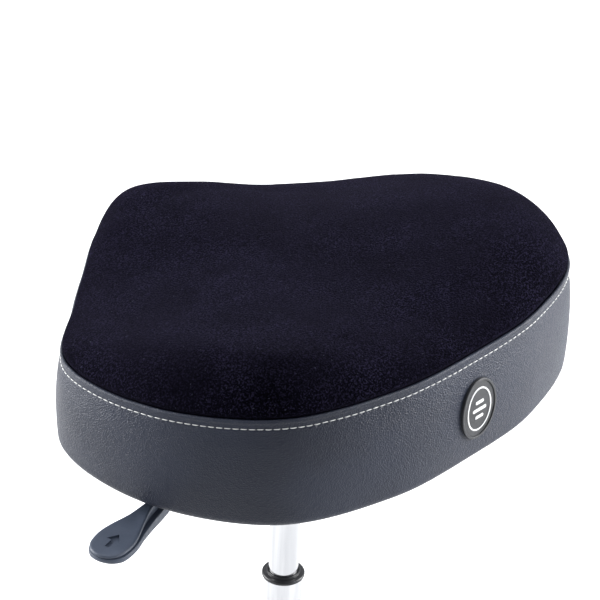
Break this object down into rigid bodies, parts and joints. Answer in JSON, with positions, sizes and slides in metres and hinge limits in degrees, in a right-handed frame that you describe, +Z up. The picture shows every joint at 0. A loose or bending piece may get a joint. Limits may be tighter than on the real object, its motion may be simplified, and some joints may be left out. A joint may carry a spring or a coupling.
{
  "type": "drum throne",
  "caption": "Saddle-shaped drum stool: velour top over a stitched vinyl band, gas-lift column with a release lever, folding tripod base on rubber feet.",
  "frame": {"origin": "on the floor, in the middle of the throne's footprint box, which the seat, the lever and the rear foot span; the column stands 26.7 mm towards -X and 9.4 mm towards -Y of it", "axes": "+Z up along the column; the sitter faces -Y, so the seat's nose points to -Y and the badge faces +Y; +X is the sitter's left, where the lever is"},
  "size_m": [0.5519, 0.4728, 0.6358],
  "materials": {
    "velour": "matte, short-pile velour",
    "vinyl": "satin, pebble-grained vinyl",
    "foam": "matte, open-cell foam",
    "plywood": "matte, raw plywood",
    "dust_cloth": "matte, non-woven cloth",
    "badge_plastic": "satin, moulded",
    "black_steel": "satin, powder coated",
    "zinc_steel": "satin, zinc plated",
    "chrome": "polished",
    "black_plastic": "matte, fine texture",
    "rubber": "matte",
    "thread": "satin, polyester thread",
    "white_print": "matte"
  },
  "bodies": {
    "base": {"outer_tube": "chrome", "guide_bushing": "black_plastic", "column_ring": "black_plastic", "bottom_plug": "black_plastic", "bearing_lower_race": "zinc_steel", "bearing_ball_ring": "zinc_steel", "brace_hub": "black_steel", "hub_pin_1": "zinc_steel", "hub_pin_2": "zinc_steel", "hub_pin_3": "zinc_steel"},
    "lift_rod": {"piston_rod": "chrome", "piston": "black_plastic", "bump_stop": "rubber", "rod_clip": "zinc_steel", "bearing_upper_race": "zinc_steel"},
    "seat": {"side_band": "vinyl", "velour_top": "velour", "foam_core": "foam", "seat_board": "plywood", "dust_cover": "dust_cloth", "badge": "badge_plastic", "mount_plate": "black_steel", "plate_screw_1": "zinc_steel", "plate_screw_2": "zinc_steel", "plate_screw_3": "zinc_steel", "plate_screw_4": "zinc_steel", "mechanism_channel": "black_steel", "lever_pin": "zinc_steel", "taper_socket": "black_steel", "gas_cylinder": "chrome"},
    "lever": {"lever_bar": "black_steel", "lever_paddle": "black_plastic"},
    "valve_button": {"valve_button": "zinc_steel"},
    "leg_collar": {"leg_collar": "black_steel"},
    "wing_bolt": {"wing_bolt": "black_plastic"},
    "brace_1": {"brace_1_left": "chrome", "brace_1_right": "chrome"},
    "leg_1": {"leg_1_left": "chrome", "leg_1_right": "chrome", "leg_pin_1": "zinc_steel", "middle_pin_1": "zinc_steel", "foot_1": "rubber"},
    "brace_2": {"brace_2_left": "chrome", "brace_2_right": "chrome"},
    "leg_2": {"leg_2_left": "chrome", "leg_2_right": "chrome", "leg_pin_2": "zinc_steel", "middle_pin_2": "zinc_steel", "foot_2": "rubber"},
    "brace_3": {"brace_3_left": "chrome", "brace_3_right": "chrome"},
    "leg_3": {"leg_3_left": "chrome", "leg_3_right": "chrome", "leg_pin_3": "zinc_steel", "middle_pin_3": "zinc_steel", "foot_3": "rubber"}
  },
  "joints": [
    {"name": "seat_swivel", "type": "hinge", "parent": "base", "child": "lift_rod", "pos_m": [-0.0267, -0.0094, 0.045], "axis": [0, 0, 1], "continuous": true},
    {"name": "seat_height", "type": "slide", "parent": "lift_rod", "child": "seat", "axis": [0, 0, 1], "range_m": [-0.14, 0]},
    {"name": "lever_lift", "type": "hinge", "parent": "seat", "child": "lever", "pos_m": [0.01716, 0.00065, 0.477], "axis": [0.2233, -0.9748, 0], "range_deg": [0, 2.5], "stiffness_Nm_per_rad": 8, "springref_deg": -3.44},
    {"name": "valve_press", "type": "slide", "parent": "seat", "child": "valve_button", "axis": [0, 0, -1], "range_m": [0, 0.002]},
    {"name": "brace_1_fold", "type": "hinge", "parent": "base", "child": "brace_1", "pos_m": [-0.0267, 0.0206, 0.038], "axis": [1, 0, 0], "range_deg": [0, 47]},
    {"name": "leg_1_fold", "type": "hinge", "parent": "brace_1", "child": "leg_1", "pos_m": [-0.0267, 0.09783, 0.09833], "axis": [1, 0, 0], "range_deg": [-94, 0]},
    {"name": "brace_2_fold", "type": "hinge", "parent": "base", "child": "brace_2", "pos_m": [-0.05268, -0.0244, 0.038], "axis": [-0.5, 0.866, 0], "range_deg": [0, 47]},
    {"name": "leg_2_fold", "type": "hinge", "parent": "brace_2", "child": "leg_2", "pos_m": [-0.11956, -0.06301, 0.09833], "axis": [-0.5, 0.866, 0], "range_deg": [-94, 0]},
    {"name": "brace_3_fold", "type": "hinge", "parent": "base", "child": "brace_3", "pos_m": [-0.00072, -0.0244, 0.038], "axis": [-0.5, -0.866, 0], "range_deg": [0, 47]},
    {"name": "leg_3_fold", "type": "hinge", "parent": "brace_3", "child": "leg_3", "pos_m": [0.06616, -0.06301, 0.09833], "axis": [-0.5, -0.866, 0], "range_deg": [-94, 0]},
    {"name": "collar_slide", "type": "slide", "parent": "base", "child": "leg_collar", "axis": [0, 0, 1], "range_m": [0, 0.0747]},
    {"name": "wing_bolt_turn", "type": "hinge", "parent": "leg_collar", "child": "wing_bolt", "pos_m": [-0.0267, -0.0494, 0.16517], "axis": [0, -1, 0], "continuous": true}
  ],
  "couplings": [
    {"joint": "valve_press", "follows": "lever_lift", "m_per_rad": 0.045},
    {"joint": "leg_1_fold", "follows": "brace_1_fold", "ratio": -2},
    {"joint": "brace_2_fold", "follows": "brace_1_fold", "ratio": 1},
    {"joint": "leg_2_fold", "follows": "brace_1_fold", "ratio": -2},
    {"joint": "brace_3_fold", "follows": "brace_1_fold", "ratio": 1},
    {"joint": "leg_3_fold", "follows": "brace_1_fold", "ratio": -2},
    {"joint": "collar_slide", "follows": "brace_1_fold", "m_per_rad": 0.090923}
  ]
}
